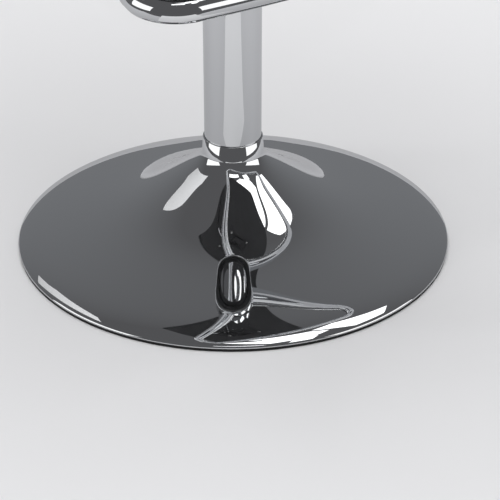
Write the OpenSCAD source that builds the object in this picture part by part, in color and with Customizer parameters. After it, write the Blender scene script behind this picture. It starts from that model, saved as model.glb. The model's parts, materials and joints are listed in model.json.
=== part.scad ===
// Height-adjustable bar stool on a spun trumpet base, shown with the seat raised.
// Millimetres, +Z up. The origin is on the floor under the column and the sitter faces -Y.

/* [Base] */
// Outside diameter of the spun base
base_d = 385; // [340:5:450]
// Height of the neck's lip above the floor
base_h = 101.5; // [88:0.5:115]
// Sheet thickness of the spun base
base_wall = 1.6; // [1.2:0.1:2.2]
// Height of the rubber ring that shows under the rim
ring_h = 3; // [2:0.5:6]
// Width of the rubber ring
ring_w = 9; // [7:0.5:14]
// Outside diameter of the ballast disc
ballast_d = 270; // [180:10:280]
// Thickness of the ballast disc
ballast_t = 10; // [6:1:11]
// Height of the socket that grips the column's foot
hub_h = 52; // [40:1:54]

/* [Column] */
// Outside diameter of the fixed column
column_d = 50; // [44:1:52]
// Wall of the fixed column
column_wall = 2; // [1.5:0.25:2.5]
// Outside diameter of the sliding tube, which runs over the column
lift_d = 60; // [58:1:63]
// Wall of the sliding tube
lift_wall = 2; // [1.5:0.25:2.5]
// Travel of the seat
stroke = 180; // [120:10:220]
// Length of each of the two nylon guides
guide_h = 25; // [15:1:30]
// Height of the black ring that shows under the sliding tube
flange_h = 6; // [5:1:14]
// Gap between the base's neck and the black ring with the seat down
low_gap = 8.5; // [3:0.5:15]

/* [Gas spring] */
// Outside diameter of the pressure cylinder
cylinder_d = 28; // [26:0.5:29]
// Wall of the pressure cylinder
cylinder_wall = 1.5; // [1.2:0.1:2]
// Diameter of the piston rod
rod_d = 10; // [9:0.5:12]
// Height of the rubber buffer on the rod
buffer_h = 14; // [8:1:20]

/* [Footrest] */
// Diameter of the footrest tube
foot_tube = 20; // [18:1:25]
// From the column's axis to the middle of the front bar
foot_reach = 172; // [160:2:200]
// Between the outer bends, across the stool
foot_w = 368; // [320:4:380]
// Height of the sleeve
sleeve_h = 30; // [26:1:60]
// Wall of the sleeve
sleeve_wall = 2.5; // [2:0.5:5]

/* [Seat] */
// Height of the seat's underside when raised
seat_under = 770; // [690:5:840]
// Width over the seat cushion
seat_w = 420; // [380:5:460]
// Depth over the cushion's front and the back's top
seat_d = 430; // [400:5:470]
// Length of the straight part of the back
back_len = 215; // [150:5:300]
// Lean of the back from upright
back_lean = 10; // [4:1:16]
// Thickness of the moulded plywood
ply_t = 12; // [9:1:15]
// Thickness of the seat cushion at its edge
seat_pad = 38; // [28:1:50]
// Thickness of the back cushion at its edge
back_pad = 26; // [18:1:34]
// Rise of the crown of each cushion
crown = 14; // [8:1:20]
// Sewn channels across each cushion
channels = 3; // [1:1:5]

/* [Seat mechanism] */
// Side of the square mounting plate
plate_w = 170; // [150:5:200]
// Between the seat bolts, both ways
bolt_grid = 125; // [110:5:140]
// Thread diameter of the seat bolts
bolt_d = 6; // [5:0.5:7]
// Width of the mechanism's channel
housing_w = 64; // [62:1:76]
// Length of the mechanism's channel
housing_len = 130; // [90:5:150]
// From the column's axis to the tip of the lever
lever_reach = 192; // [170:2:205]
// Diameter of the lever rod
lever_d = 8; // [6:0.5:9]

/* [Hidden] */
$fn = 96;

// Clearances: a running fit, a seat, and plain air between two pieces
run = 0.06;
seat_gap = 0.05;
air = 0.3;
eps = 0.01;

// Round parts: where the column stands and what turns in it
col_r = column_d / 2;
bore_r = col_r - column_wall;
lift_r = lift_d / 2;
lift_in = lift_r - lift_wall;
cyl_r = cylinder_d / 2;
cyl_in = cyl_r - cylinder_wall;
rod_r = rod_d / 2;
tip_r = rod_r - 1;

// Levels of the base: ballast, hub flange and the column's tapered foot
ballast_z = 7;
flange_z = ballast_z + ballast_t;
hub_flange_t = 4;
hub_r = col_r + 4;
hub_flange_r = hub_r + 19;
hub_top = flange_z + hub_h;
ballast_bolt_r = hub_r + 10;
ballast_bolt_d = 6;
gusset_inset = 20;
foot_z0 = 14;
taper_h = 60;
taper_in = 1.2;
foot_wall = 2.3;
foot_r = col_r - taper_in;
foot_in = foot_r - foot_wall;
step_z = 30;

// Levels of the swivel bearing, from the foot plate up
plate_z = 18;
plate_t = 6;
race_t = 2;
race_r = foot_in - 4;
race_bore = tip_r + 4;
ball_r = 2.5;
balls = 9;
ball_ring = (race_bore + race_r) / 2 + 0.5;
ball_z = plate_z + plate_t + race_t + ball_r;
upper_z = ball_z + ball_r + air;
shoulder_z = upper_z + race_t;
buffer_top = shoulder_z + buffer_h;
clip_t = 1.8;
clip_z = plate_z - air - clip_t;
rod_end = clip_z - 3;

// Levels of the sliding parts, seat raised: the piston on its gland is the upper stop
run_out = 5;
slide_z = base_h + low_gap + stroke;
tube_z0 = slide_z + flange_h;
gland_h = 10;
cyl_z0 = buffer_top + run_out + stroke;
piston_z = cyl_z0 + gland_h + 2;
piston_t = 10;
nut_t = 4;

// Levels of the seat mechanism, from the seat's underside down
plate_th = 2.5;
sheet_t = 2.5;
housing_h = 29.5;
plate_low = seat_under - plate_th;
web_z = plate_low - housing_h;
lever_z = plate_low - 9;
lever_r = lever_d / 2;
socket_wall = 2.85;
socket_r = cyl_r + socket_wall;
socket_low = 30;
socket_top = web_z + sheet_t + 7;
// The fixed column ends with its bush just short of the socket, seat down
bush_t = 3;
bush_plug = 15;
top_gap = 8;
column_top = web_z - socket_low - stroke - top_gap - bush_t;
cone_in = 0.8;
cyl_top = socket_top + 0.5;
head_h = 33;
pin_r = 3;
pin_low = cyl_top - 13;
pin_top = lever_z - lever_r - air;

// Lever: pivot, boss, ears and the points of the bent rod
channel_in = housing_w / 2 - sheet_t;
pivot_room = channel_in - socket_r;
pivot_x = -channel_in + pivot_room / 2;
pivot_r = 2.5;
boss_r = pivot_room / 2 - air;
boss_w = 16;
ear_t = 2.5;
ear_w = pivot_room - 2 * air;
lever_inner = 5;
knee_x = -44;
drop_x = -80;
drop = 26.5;
grip_len = 44;
grip_swell = 3.4;
grip_head = 10;
grip_waist = 26;

// Footrest levels: the sleeve is clamped just above the black ring
sleeve_gap = 2;
sleeve_z = tube_z0 + sleeve_gap;
foot_z = sleeve_z + sleeve_h / 2;
sleeve_in = lift_r + seat_gap;
sleeve_r = sleeve_in + sleeve_wall;
ring_lip = 1;
foot_r1 = foot_tube / 2;

// Seat outline in the side view: the bend's centre and radius, measured on the cover's outside
half_d = seat_d / 2;
cover_t = 2;
bend_r = 50;
bend_y = half_d - bend_r * cos(back_lean) - back_len * sin(back_lean);
bend_z = seat_under + bend_r;
ply_edge = 6;
ply_w = seat_w - 2 * ply_edge;
ply_top = seat_under + cover_t + ply_t;
front_y = -half_d + ply_edge;
front_round = 50;
back_round = 42;
back_taper = 14;
back_top = bend_z - bend_r * sin(back_lean) + back_len * cos(back_lean);
tnut_flange = 1.5;
tnut_wall = 1.2;
tnut_r = 9.5;
bolt_r = bolt_d / 2;

// Spun profile: slope in degrees at a share t of the way from the neck to the rim
lip_t = 0.6;
spin_in = col_r + 0.15 + lip_t;
bead_r = 2.5;
spin_n = 44;
dish_slope = 15.7;
lip_slope = 18.5;
lip_len = 0.012;
lip_power = 2.5;
fillet_slope = 36;
fillet_len = 0.033;
cone_slope = 18;
cone_end = 0.412;
cone_soft = 0.063;
rim_slope = 19.6;
rim_power = 15.3;
function spin_slope(t) = dish_slope + lip_slope * exp(-pow(t / lip_len, lip_power))
    + fillet_slope * exp(-t / fillet_len)
    + cone_slope / (1 + exp((t - cone_end) / cone_soft)) + rim_slope * pow(t, rim_power);
edge_slope = spin_slope(1);
spin_out = base_d / 2 - bead_r * (1 - sin(edge_slope));
rim_z = ring_h + bead_r * cos(edge_slope);
spin_t = [for (i = [0:spin_n]) pow(i / spin_n, 2)];
spin_rise = [for (i = [0:spin_n - 1])
    (spin_t[i + 1] - spin_t[i]) * (tan(spin_slope(spin_t[i])) + tan(spin_slope(spin_t[i + 1]))) / 2];
function sum_from(v, i) = i >= len(v) ? 0 : v[i] + sum_from(v, i + 1);
spin_total = sum_from(spin_rise, 0);
function spin_r(i) = spin_in + (spin_out - spin_in) * spin_t[i];
function spin_z(i) = rim_z + (base_h - rim_z) * sum_from(spin_rise, i) / spin_total;
spin_outer = [for (i = [0:spin_n]) [spin_r(i), spin_z(i)]];
function inner_point(i) = let (s = spin_slope(spin_t[i]))
    [max(spin_r(i) - base_wall * sin(s), spin_in - lip_t), spin_z(i) - base_wall * cos(s)];
spin_inner = [for (i = [0:spin_n]) inner_point(i)];
bead_x = spin_out - bead_r * sin(edge_slope);
function bead_arc(r) = [for (k = [1:6]) let (a = (90 - edge_slope) * (1 - k / 6))
    [bead_x + r * cos(a), ring_h + r * sin(a)]];
function flip(v) = [for (i = [len(v) - 1:-1:0]) v[i]];

// Footrest path in plan: arm, side and front bar joined by two bends and a shallow arc
arm_start = [6, -8];
side_splay = 14;
arm_share = 0.61;
side_share = 0.988;
arm_end = [foot_w / 2 - side_splay, -foot_reach * arm_share];
side_end = [foot_w / 2, -foot_reach * side_share];
arm_bend = 34;
corner_bend = 30;
front_arc = 1500;
function unit(v) = v / norm(v);
function turn_left(v) = [-v[1], v[0]];
arm_dir = unit(arm_end - arm_start);
side_dir = unit(side_end - arm_end);
arm_turn = acos(arm_dir * side_dir);
arm_cut = arm_bend * tan(arm_turn / 2);
bend_from = arm_end - arm_cut * arm_dir;
bend_c = bend_from - arm_bend * turn_left(arm_dir);
front_c = [0, front_arc - foot_reach];
corner_base = arm_end - corner_bend * turn_left(side_dir) - front_c;
corner_half = corner_base * side_dir;
corner_run = -corner_half + sqrt(corner_half * corner_half - corner_base * corner_base
    + pow(front_arc - corner_bend, 2));
corner_c = arm_end + corner_run * side_dir - corner_bend * turn_left(side_dir);
corner_dir = unit(corner_c - front_c);
function heading(v) = atan2(v[1], v[0]);
function arc(c, r, from, to, n) = [for (k = [0:n]) let (a = from + (to - from) * k / n)
    [c[0] + r * cos(a), c[1] + r * sin(a)]];
side_normal = heading(turn_left(side_dir));
foot_half = concat([arm_start],
    arc(bend_c, arm_bend, heading(turn_left(arm_dir)), side_normal, 8),
    arc(corner_c, corner_bend, side_normal, heading(corner_dir), 11));
foot_path = concat(foot_half,
    arc(front_c, front_arc, heading(corner_dir), -180 - heading(corner_dir), 8),
    flip([for (p = foot_half) [-p[0], p[1]]]));
foot_line = [for (i = [0:len(foot_path) - 1])
    if (i == 0 || norm(foot_path[i] - foot_path[max(i - 1, 0)]) > 0.1) foot_path[i]];

// Seat side view: a line at a depth inside the cover's outside, from the front edge to the top,
// longer at both ends by what the piece grows
bend_steps = 10;
function side_line(depth, grow) = let (r = bend_r - depth, up = back_len + grow)
    concat([[front_y - grow, seat_under + depth]],
    [for (k = [0:bend_steps]) let (a = -90 + (90 - back_lean) * k / bend_steps)
        [bend_y + r * cos(a), bend_z + r * sin(a)]],
    [[bend_y + r * cos(back_lean) + up * sin(back_lean),
      bend_z - r * sin(back_lean) + up * cos(back_lean)]]);

// A cushion: a grid of soft square outline with a crown, channels and drawn-in sides
pad_n = 24;
pad_power = 7;
pull_in = 0.022;
channel_depth = 5;
channel_w = 7;
// How far a direction reaches on the soft square, s being 0 at mid-side and 1 at the corner
function soft_at(s) = pow(1 + pow(s, pad_power), -1 / pad_power) * (1 - pull_in * (1 - s * s));
soft_most = max([for (k = [0:pad_n]) soft_at(abs(2 * k / pad_n - 1))]);
function soft(u, v) = let (m = max(abs(u), abs(v), eps)) soft_at(min(abs(u), abs(v)) / m) / soft_most;
function groove(y, half, n) = len([for (k = [1:n])
    if (abs(y - half * (2 * k / (n + 1) - 1)) < channel_w) 1]) == 0 ? 0
    : max([for (k = [1:n]) let (d = abs(y - half * (2 * k / (n + 1) - 1)))
        d < channel_w ? channel_depth * (1 + cos(180 * d / channel_w)) / 2 : 0]);
function rim_index(k) = let (n = pad_n, side = floor(k / n), j = k % n)
    side == 0 ? [j, 0] : side == 1 ? [n, j] : side == 2 ? [n - j, n] : [0, n - j];

// Sheet and disc helpers
module ring(r_out, r_in, h, z) {
    translate([0, 0, z]) difference() {
        cylinder(r = r_out, h = h);
        translate([0, 0, -1]) cylinder(r = r_in, h = h + 2);
    }
}
module hex_bolt(r, head_h, shank) {
    cylinder(r = r * 1.92, h = head_h, $fn = 6);
    translate([0, 0, head_h]) cylinder(r = r, h = shank, $fn = 32);
}
module around(n, r, start = 0) {
    for (k = [0:n - 1]) rotate([0, 0, start + 360 * k / n]) translate([r, 0, 0]) children();
}
module at_seat_bolts(z) {
    for (x = [-1, 1], y = [-1, 1]) translate([x * bolt_grid / 2, y * bolt_grid / 2, z]) children();
}

// Base
module base_shell() {
    color("silver") rotate_extrude($fn = 180) polygon(concat(spin_outer, bead_arc(bead_r),
        flip(bead_arc(bead_r - base_wall)), flip(spin_inner)));
}
module floor_ring() {
    // A flat ring under the rim with an upstand inside it
    out = base_d / 2 - 0.4;
    lip_r = bead_x + bead_r - base_wall - 0.1;
    color("black") rotate_extrude($fn = 180) polygon([[out - ring_w, 0], [out - 0.8, 0], [out, 0.8],
        [out, ring_h], [lip_r, ring_h], [lip_r - 1, ring_h + 1.2], [out - ring_w, ring_h + 1.2]]);
}
module ballast_disc() {
    color("dimgray") difference() {
        ring(ballast_d / 2, col_r + 3, ballast_t, ballast_z);
        around(4, ballast_bolt_r) translate([0, 0, ballast_z - 1])
            cylinder(r = ballast_bolt_d / 2 + air, h = ballast_t + 2, $fn = 32);
    }
}
function taper_r(z) = foot_r + taper_in * min(1, (z - foot_z0) / taper_h);
module hub_socket() {
    color("darkgray") difference() {
        rotate_extrude() polygon([[taper_r(flange_z) + seat_gap, flange_z], [hub_flange_r, flange_z],
            [hub_flange_r, flange_z + hub_flange_t], [hub_r, flange_z + hub_flange_t], [hub_r, hub_top],
            [taper_r(hub_top) + seat_gap, hub_top]]);
        around(4, ballast_bolt_r) translate([0, 0, flange_z - 1])
            cylinder(r = ballast_bolt_d / 2, h = hub_flange_t + 2, $fn = 32);
    }
}
module gussets() {
    // Four upright plates between the hub and the inside of the spun shell
    reach = ballast_d / 2 - gusset_inset;
    low = flange_z + hub_flange_t + eps;
    roof = [for (p = spin_inner) if (p[0] > hub_r + 0.5 && p[0] < reach) [p[0], p[1] - 0.1]];
    color("darkgray") for (k = [0:3]) rotate([0, 0, 45 + 90 * k]) rotate([90, 0, 0])
        linear_extrude(3, center = true) polygon(concat([[hub_r + seat_gap, low],
            [hub_r + seat_gap, min(hub_top, roof[0][1])]], roof, [[roof[len(roof) - 1][0], low]]));
}
module ballast_bolts() {
    color("gray") around(4, ballast_bolt_r) translate([0, 0, ballast_z - 4])
        hex_bolt(ballast_bolt_d / 2 - seat_gap, 4, ballast_t + hub_flange_t + 2);
}

// Fixed column, its bearing and its upper guide
module column_tube() {
    color("silver") rotate_extrude($fn = 128) polygon([[foot_in, foot_z0], [foot_r, foot_z0],
        [col_r, foot_z0 + taper_h], [col_r, column_top], [bore_r, column_top], [bore_r, step_z + 4],
        [foot_in, step_z]]);
}
module column_foot() {
    color("gray") ring(foot_in - seat_gap, tip_r + run, plate_t, plate_z);
}
module lower_race() {
    color("lightgray") ring(race_r, race_bore, race_t, plate_z + plate_t);
}
module bearing_balls() {
    color("lightgray") around(balls, ball_ring) translate([0, 0, ball_z])
        sphere(r = ball_r - seat_gap, $fn = 32);
}
module ball_cage() {
    color("goldenrod") difference() {
        ring(race_r - 0.5, race_bore + 0.5, 2, ball_z - 1);
        around(balls, ball_ring) translate([0, 0, ball_z - 2])
            cylinder(r = ball_r + 0.1, h = 4, $fn = 32);
    }
}
module top_bush() {
    // Nylon bush on top of the column, which guides the sliding tube from inside
    low = column_top - guide_h;
    out = lift_in - run;
    inner = cyl_r + 0.5;
    color("black") rotate_extrude($fn = 128) polygon([[inner, column_top - bush_plug],
        [bore_r - seat_gap, column_top - bush_plug], [bore_r - seat_gap, column_top],
        [col_r + seat_gap, column_top], [col_r + seat_gap, low], [out, low],
        [out, column_top + bush_t], [inner, column_top + bush_t]]);
}

// Footrest
module at_foot_screws() {
    for (s = [-1, 1]) translate([0, sleeve_in, foot_z + s * sleeve_h / 4])
        rotate([-90, 0, 0]) children();
}
module footrest_sleeve() {
    color("silver") difference() {
        ring(sleeve_r, sleeve_in, sleeve_h, sleeve_z);
        at_foot_screws() translate([0, 0, -1]) cylinder(r = 3, h = sleeve_wall + 2, $fn = 32);
    }
}
module footrest_screws() {
    color("dimgray") at_foot_screws() difference() {
        cylinder(r = 3 - seat_gap, h = sleeve_wall - 0.5, $fn = 32);
        translate([0, 0, sleeve_wall - 2]) cylinder(r = 1.7, h = 3, $fn = 6);
    }
}
module flat_tube(line, r, z, sides) {
    // A round tube along a flat line of points, square at both ends
    n = len(line);
    function along(i) = unit(line[min(i + 1, n - 1)] - line[max(i - 1, 0)]);
    rings = [for (i = [0:n - 1], k = [0:sides - 1])
        let (a = 360 * (k + 0.5) / sides, s = turn_left(along(i)))
        [line[i][0] + r * cos(a) * s[0], line[i][1] + r * cos(a) * s[1], z + r * sin(a)]];
    skin = [for (i = [0:n - 2], k = [0:sides - 1], h = [0, 1])
        let (a = i * sides + k, b = i * sides + (k + 1) % sides, c = a + sides, d = b + sides)
        h == 0 ? [a, b, d] : [a, d, c]];
    cap_a = [for (k = [1:sides - 2]) [0, k + 1, k]];
    cap_b = [for (k = [1:sides - 2]) [(n - 1) * sides, (n - 1) * sides + k, (n - 1) * sides + k + 1]];
    polyhedron(points = rings, faces = concat(skin, cap_a, cap_b));
}
module footrest_loop() {
    color("silver") difference() {
        flat_tube(foot_line, foot_r1, foot_z, 20);
        translate([0, 0, sleeve_z - 1]) cylinder(r = sleeve_r + eps, h = sleeve_h + 2, $fn = 96);
    }
}

// Piston rod, which turns on the bearing
module upper_race() {
    color("lightgray") ring(race_r, tip_r + seat_gap, race_t, upper_z);
}
module rod_clip() {
    color("gray") ring(tip_r + 3, tip_r - 0.8 + seat_gap, clip_t, clip_z);
}
module rod_buffer() {
    color("darkslategray") rotate_extrude() polygon([[rod_r + seat_gap, shoulder_z],
        [rod_r + 8, shoulder_z], [rod_r + 8, shoulder_z + 3], [rod_r + 6, buffer_top - 2],
        [rod_r + 4, buffer_top], [rod_r + seat_gap, buffer_top]]);
}
module piston_rod() {
    color("silver") rotate_extrude($fn = 48) polygon([[0, rod_end], [tip_r - 0.5, rod_end],
        [tip_r, rod_end + 0.5], [tip_r, clip_z - 0.1], [tip_r - 0.8, clip_z - 0.1],
        [tip_r - 0.8, clip_z + clip_t + 0.1], [tip_r, clip_z + clip_t + 0.1], [tip_r, shoulder_z],
        [rod_r, shoulder_z], [rod_r, piston_z], [rod_r - 1.5, piston_z],
        [rod_r - 1.5, piston_z + piston_t + nut_t], [0, piston_z + piston_t + nut_t]]);
}
module piston() {
    color("gray") rotate_extrude() polygon([[rod_r - 1.5 + seat_gap, piston_z],
        [cyl_in - run, piston_z], [cyl_in - run, piston_z + 3], [cyl_in - 1, piston_z + 3],
        [cyl_in - 1, piston_z + 6], [cyl_in - run, piston_z + 6],
        [cyl_in - run, piston_z + piston_t], [rod_r - 1.5 + seat_gap, piston_z + piston_t]]);
}
module piston_nut() {
    color("gray") translate([0, 0, piston_z + piston_t]) difference() {
        cylinder(r = rod_r + 1.5, h = nut_t - 0.5, $fn = 6);
        translate([0, 0, -1]) cylinder(r = rod_r - 1.5 + seat_gap, h = nut_t + 2, $fn = 32);
    }
}

// Gas spring cylinder and the sliding tube, which rise with the seat
module rod_gland() {
    color("black") ring(cyl_in - seat_gap, rod_r + run, gland_h, cyl_z0 + eps);
}
module gas_cylinder() {
    cone_z = web_z - socket_low;
    color("dimgray") rotate_extrude($fn = 96) polygon([[cyl_in, cyl_z0], [cyl_r, cyl_z0],
        [cyl_r, cone_z], [cyl_r - cone_in, cyl_top], [pin_r + run, cyl_top],
        [pin_r + run, pin_low - 5], [0, pin_low - 5], [0, cyl_top - head_h],
        [cyl_in, cyl_top - head_h]]);
}
module guide_ring() {
    // Nylon guide in the sliding tube's lower end, with the black ring that shows below it
    out = lift_r + ring_lip;
    edge = 1;
    color("black") rotate_extrude($fn = 128) polygon([[col_r + run, slide_z], [out - edge, slide_z],
        [out, slide_z + edge], [out, tube_z0], [lift_in - seat_gap, tube_z0],
        [lift_in - seat_gap, tube_z0 + guide_h], [col_r + run, tube_z0 + guide_h]]);
}
module lift_tube() {
    color("silver") ring(lift_r, lift_in, web_z - tube_z0, tube_z0, $fn = 96);
}
module upper_collar() {
    low = web_z - 13;
    inner = lift_r + seat_gap;
    color("black") rotate_extrude($fn = 96) polygon([[inner, low], [inner + 1.5, low],
        [inner + 2.5, low + 2], [inner + 3.5, web_z - 3], [inner + 3.5, web_z], [inner, web_z]]);
}

// Seat mechanism
function cone_r(z) = cyl_r - cone_in * (z - web_z + socket_low) / (cyl_top - web_z + socket_low);
module taper_socket() {
    low = web_z - socket_low;
    color("gray") rotate_extrude($fn = 96) polygon([[cone_r(low) + seat_gap, low], [socket_r, low],
        [socket_r, socket_top], [cone_r(socket_top) + seat_gap, socket_top]]);
}
module mechanism_housing() {
    // A folded channel, open at its ends, with a slot for the lever in one wall
    color("#26282b") difference() {
        translate([-housing_w / 2, -housing_len / 2, web_z]) cube([housing_w, housing_len, housing_h]);
        translate([-channel_in, -housing_len / 2 - 1, web_z + sheet_t])
            cube([2 * channel_in, housing_len + 2, housing_h]);
        translate([0, 0, web_z - 1]) cylinder(r = socket_r + seat_gap, h = sheet_t + 2);
        translate([-housing_w / 2 - 1, -lever_r - 1.5, lever_z - lever_r - 2])
            cube([sheet_t + 2, lever_d + 3, lever_d + 5.5]);
    }
}
module mount_plate() {
    corner = 14;
    inset = plate_w / 2 - corner;
    color("#26282b") difference() {
        translate([0, 0, plate_low]) linear_extrude(plate_th) union() {
            square([plate_w, 2 * inset], center = true);
            square([2 * inset, plate_w], center = true);
            for (x = [-1, 1], y = [-1, 1]) translate([x * inset, y * inset])
                circle(r = corner, $fn = 48);
        }
        at_seat_bolts(plate_low - 1) cylinder(r = bolt_r + 0.4, h = plate_th + 2, $fn = 32);
    }
}
module lever_bracket() {
    // Two ears folded up from a foot on the channel's floor
    foot = web_z + sheet_t;
    wide = boss_w + 2 * air + 2 * ear_t;
    color("gray") difference() {
        translate([pivot_x - ear_w / 2, -wide / 2, foot]) cube([ear_w, wide, lever_z + 6 - foot]);
        translate([pivot_x - ear_w, -wide / 2 + ear_t, foot + ear_t - 0.7])
            cube([2 * ear_w, wide - 2 * ear_t, housing_h]);
        translate([pivot_x, 0, lever_z]) rotate([90, 0, 0])
            cylinder(r = pivot_r + seat_gap, h = wide + 2, center = true, $fn = 48);
    }
}
module lever_pin() {
    reach = boss_w / 2 + air + ear_t;
    color("lightgray") translate([pivot_x, reach + 3, lever_z]) rotate([90, 0, 0]) difference() {
        union() {
            cylinder(r = pivot_r, h = 2 * reach + 6, $fn = 48);
            translate([0, 0, 2 * reach + 3.3]) cylinder(r = pivot_r + 1.6, h = 1.8, $fn = 48);
        }
        difference() {
            translate([0, 0, 1.2]) cylinder(r = pivot_r + 1, h = 1.2, $fn = 48);
            translate([0, 0, 1]) cylinder(r = pivot_r - 0.6, h = 2, $fn = 48);
        }
    }
}
module pin_clip() {
    reach = boss_w / 2 + air + ear_t;
    color("gray") translate([pivot_x, reach + 1.7, lever_z]) rotate([90, 0, 0]) difference() {
        cylinder(r = pivot_r + 1.8, h = 1, $fn = 48);
        translate([0, 0, -1]) cylinder(r = pivot_r - 0.6 + seat_gap, h = 3, $fn = 48);
        translate([0, 0, -1]) linear_extrude(3)
            translate([-(pivot_r - 0.7), 0]) square([2 * pivot_r - 1.4, 9]);
    }
}
module seat_bolts() {
    washer = 1.6;
    head = 4;
    color("gray") at_seat_bolts(plate_low - washer - head)
        hex_bolt(bolt_r - seat_gap, head, washer + ply_top - 1 - plate_low);
}
module seat_washers() {
    color("lightgray") at_seat_bolts(plate_low - 1.6) ring(bolt_d, bolt_r + 0.2, 1.6, 0, $fn = 48);
}
module t_nuts() {
    barrel = bolt_r + tnut_wall;
    color("lightgray") at_seat_bolts(ply_top) rotate_extrude($fn = 48) polygon([
        [bolt_r, -ply_t + 1], [barrel, -ply_t + 1], [barrel, -tnut_flange],
        [tnut_r, -tnut_flange], [tnut_r, 0], [bolt_r, 0]]);
}

// Seat
module seat_mask(grow) {
    // Rounds the seat's front corners in plan and the back's top corners in front view
    w = ply_w / 2 + grow;
    r = front_round + grow;
    front = front_y - grow;
    intersection() {
        linear_extrude(back_top + seat_d) union() {
            translate([-w, front + r]) square([2 * w, seat_d]);
            translate([-w + r, front]) square([2 * (w - r), seat_d]);
            for (s = [-1, 1]) translate([s * (w - r), front + r]) circle(r = r, $fn = 96);
        }
        translate([0, seat_d, 0]) rotate([90, 0, 0]) linear_extrude(2 * seat_d)
            polygon(back_outline(w, back_top + grow, back_round + grow));
    }
}
function back_outline(w, top, r) = let (t = w - back_taper,
    arc = [for (k = [0:12]) [t - r + r * cos(90 * k / 12), top - r + r * sin(90 * k / 12)]])
    concat([[w, 0], [w, bend_z]], arc, [for (p = flip(arc)) [-p[0], p[1]]],
        [[-w, bend_z], [-w, 0]]);
module side_slab(from, to, grow) {
    intersection() {
        rotate([90, 0, 90]) translate([0, 0, -seat_w / 2]) linear_extrude(seat_w)
            polygon(concat(side_line(from, grow), flip(side_line(to, grow))));
        seat_mask(grow);
    }
}
module seat_shell() {
    color("burlywood") difference() {
        side_slab(cover_t, cover_t + ply_t, 0);
        at_seat_bolts(seat_under)
            cylinder(r = bolt_r + tnut_wall + seat_gap, h = cover_t + ply_t + 1, $fn = 32);
        at_seat_bolts(ply_top - tnut_flange)
            cylinder(r = tnut_r + seat_gap, h = tnut_flange + 1, $fn = 48);
    }
}
module shell_cover() {
    // A skin under the plywood that wraps its edges
    color("#1b1b1d") difference() {
        side_slab(0, cover_t + ply_t, cover_t);
        side_slab(cover_t, cover_t + ply_t + 1, seat_gap);
        at_seat_bolts(seat_under - 1) cylinder(r = bolt_r + 0.4, h = cover_t + 2, $fn = 32);
    }
}
module cushion(w, d, edge, top, slots, narrow = 0) {
    // Flat underside at z = 0, sides that swell to w by d, then the crowned and channelled top.
    // Each side comes in by narrow from one end to the other.
    n = pad_n;
    rim = 4 * n;
    function flat(i, j) = let (u = 2 * i / n - 1, v = 2 * j / n - 1, s = soft(u, v))
        [(w / 2 - narrow * (1 + v * s) / 2) * u * s, d / 2 * v * s];
    function dome(i, j) = let (u = 2 * i / n - 1, v = 2 * j / n - 1, p = flat(i, j),
        m = max(abs(u), abs(v)), fade = 1 - pow(m, 8))
        [p[0] * (1 - 0.02 * pow(m, 6)), p[1] * (1 - 0.02 * pow(m, 6)),
         edge + top * (1 - pow(abs(u), 3)) * (1 - pow(abs(v), 3)) - groove(p[1], d / 2, slots) * fade];
    grid = [for (j = [0:n], i = [0:n]) dome(i, j)];
    // Side rings from the top edge down: share of the width and share of the height
    sides = [[1, 0.8], [0.993, 0.5], [0.985, 0.18], [0.965, 0]];
    walls = [for (s = sides, k = [0:rim - 1]) let (q = rim_index(k), p = flat(q[0], q[1]))
        [p[0] * s[0], p[1] * s[0], edge * s[1]]];
    top_n = (n + 1) * (n + 1);
    function rim_vertex(ring, k) = let (q = rim_index(k % rim))
        ring == 0 ? q[1] * (n + 1) + q[0] : top_n + (ring - 1) * rim + k % rim;
    tops = [for (j = [0:n - 1], i = [0:n - 1], h = [0, 1]) let (a = j * (n + 1) + i, b = a + n + 1)
        h == 0 ? [a, b, b + 1] : [a, b + 1, a + 1]];
    bands = [for (r = [0:len(sides) - 1], k = [0:rim - 1], h = [0, 1])
        let (a = rim_vertex(r, k), b = rim_vertex(r, k + 1), c = rim_vertex(r + 1, k),
            e = rim_vertex(r + 1, k + 1))
        h == 0 ? [a, b, e] : [a, e, c]];
    last = len(sides);
    base = [for (k = [0:rim - 1]) [top_n + last * rim, rim_vertex(last, k), rim_vertex(last, k + 1)]];
    polyhedron(points = concat(grid, walls, [[0, 0, 0]]), faces = concat(tops, bands, base));
}
module seat_cushion() {
    rear = bend_y - 4;
    color("#202023") translate([0, (rear - half_d) / 2, ply_top + air])
        cushion(seat_w, rear + half_d, seat_pad, crown, channels);
}
module back_cushion() {
    low = -6;
    high = back_len + 1;
    color("#202023") translate([0, bend_y, bend_z]) rotate([90 - back_lean, 0, 0])
        translate([0, (low + high) / 2, -(bend_r - cover_t - ply_t - air)])
        cushion(ply_w - 2, high - low, back_pad, crown, channels, back_taper);
}

// Valve button and lever
module valve_pin() {
    color("lightgray") translate([0, 0, pin_low]) cylinder(r = pin_r, h = pin_top - pin_low, $fn = 48);
}
module lever_limb(p, q) {
    translate([p[0], 0, p[1]]) rotate([0, 90 - atan2(q[1] - p[1], q[0] - p[0]), 0])
        cylinder(r = lever_r, h = norm(q - p), $fn = 32);
}
module lever_rod() {
    knee = [knee_x, lever_z];
    low = [drop_x, lever_z - drop];
    color("silver") difference() {
        union() {
            lever_limb([lever_inner, lever_z], knee);
            translate([knee[0], 0, knee[1]]) sphere(r = lever_r, $fn = 32);
            lever_limb(knee, low);
            translate([low[0], 0, low[1]]) sphere(r = lever_r, $fn = 32);
            lever_limb(low, [-lever_reach + 3, low[1]]);
            translate([pivot_x, 0, lever_z]) rotate([90, 0, 0])
                cylinder(r = boss_r, h = boss_w, center = true, $fn = 48);
        }
        translate([pivot_x, 0, lever_z]) rotate([90, 0, 0])
            cylinder(r = pivot_r + run, h = boss_w + 2, center = true, $fn = 48);
    }
}
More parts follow.
